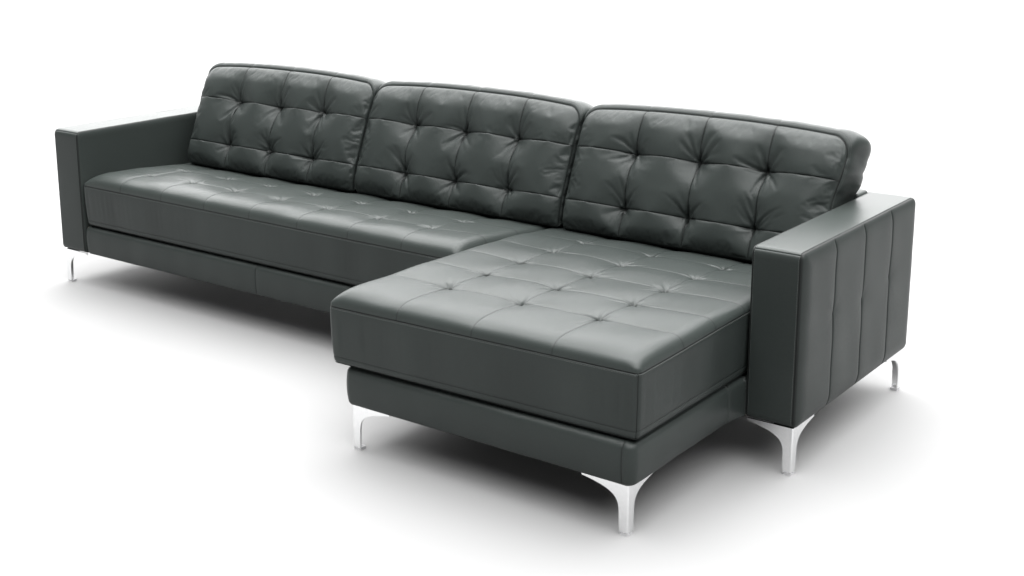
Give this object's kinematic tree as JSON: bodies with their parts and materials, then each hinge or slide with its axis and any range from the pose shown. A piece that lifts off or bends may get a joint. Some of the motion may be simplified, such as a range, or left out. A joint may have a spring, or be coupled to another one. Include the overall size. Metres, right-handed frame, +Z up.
{
  "type": "sectional sofa",
  "caption": "Tufted leather sectional sofa: a bench module and a chaise module that pull apart, box arms, loose leaning back cushions that lift out, and bright angle legs at the corners.",
  "frame": {"origin": "on the floor, under the centre of the overall box", "axes": "+X towards the chaise (right as seen from the front), +Y towards the back, +Z up; the sofa faces -Y"},
  "size_m": [3.25, 1.45, 0.8405],
  "materials": {
    "leather": "satin, dark grey with a slight green cast, top-stitched and tufted",
    "chrome": "polished",
    "timber": "raw planed softwood",
    "foam": "open-cell upholstery foam",
    "twine": "waxed twine with plastic toggles",
    "webbing": "elastic woven strap",
    "lining": "black non-woven lining",
    "steel": "zinc plated",
    "support": "black moulded",
    "glide": "nylon"
  },
  "bodies": {
    "sofa": {"connector_channels": "steel", "left_arm_bolts": "steel", "left_arm_cover": "leather", "left_arm_foam": "foam", "left_arm_frame": "timber", "leg_left_front": "chrome", "leg_left_rear": "chrome", "sofa_back_cover": "leather", "sofa_back_foam": "foam", "sofa_back_frame": "timber", "sofa_back_webbing": "webbing", "sofa_base_cover": "leather", "sofa_cross_rails": "timber", "sofa_dust_cover": "lining", "sofa_front_rail": "timber", "sofa_leg_glides": "glide", "sofa_rear_rail": "timber", "sofa_screws": "steel", "sofa_seat_cover": "leather", "sofa_seat_foam": "foam", "sofa_seat_tuft_ties": "twine", "sofa_seat_webbing": "webbing", "sofa_support_legs": "support", "sofa_webbing_clips": "steel"},
    "chaise": {"chaise_back_cover": "leather", "chaise_back_foam": "foam", "chaise_back_frame": "timber", "chaise_back_webbing": "webbing", "chaise_base_cover": "leather", "chaise_dust_cover": "lining", "chaise_front_rail": "timber", "chaise_leg_glides": "glide", "chaise_rear_rail": "timber", "chaise_screws": "steel", "chaise_seat_cover": "leather", "chaise_seat_foam": "foam", "chaise_seat_tuft_ties": "twine", "chaise_seat_webbing": "webbing", "chaise_side_rails": "timber", "chaise_support_leg": "support", "chaise_webbing_clips": "steel", "connector_tongues": "steel", "leg_chaise_front_left": "chrome", "leg_chaise_front_right": "chrome", "leg_right_front": "chrome", "leg_right_rear": "chrome", "right_arm_bolts": "steel", "right_arm_cover": "leather", "right_arm_foam": "foam", "right_arm_frame": "timber"},
    "left_cushion": {"left_cushion_cover": "leather", "left_cushion_foam": "foam", "left_cushion_tuft_ties": "twine"},
    "centre_cushion": {"centre_cushion_cover": "leather", "centre_cushion_foam": "foam", "centre_cushion_tuft_ties": "twine"},
    "right_cushion": {"right_cushion_cover": "leather", "right_cushion_foam": "foam", "right_cushion_tuft_ties": "twine"}
  },
  "joints": [
    {"name": "chaise_pull_apart", "type": "slide", "parent": "sofa", "child": "chaise", "axis": [1, 0, 0], "range_m": [0, 0.3]},
    {"name": "left_cushion_lift", "type": "slide", "parent": "sofa", "child": "left_cushion", "axis": [0, 0.3746, 0.9272], "range_m": [0, 0.45]},
    {"name": "centre_cushion_lift", "type": "slide", "parent": "sofa", "child": "centre_cushion", "axis": [0, 0.3746, 0.9272], "range_m": [0, 0.45]},
    {"name": "right_cushion_lift", "type": "slide", "parent": "chaise", "child": "right_cushion", "axis": [0, 0.3746, 0.9272], "range_m": [0, 0.45]}
  ]
}
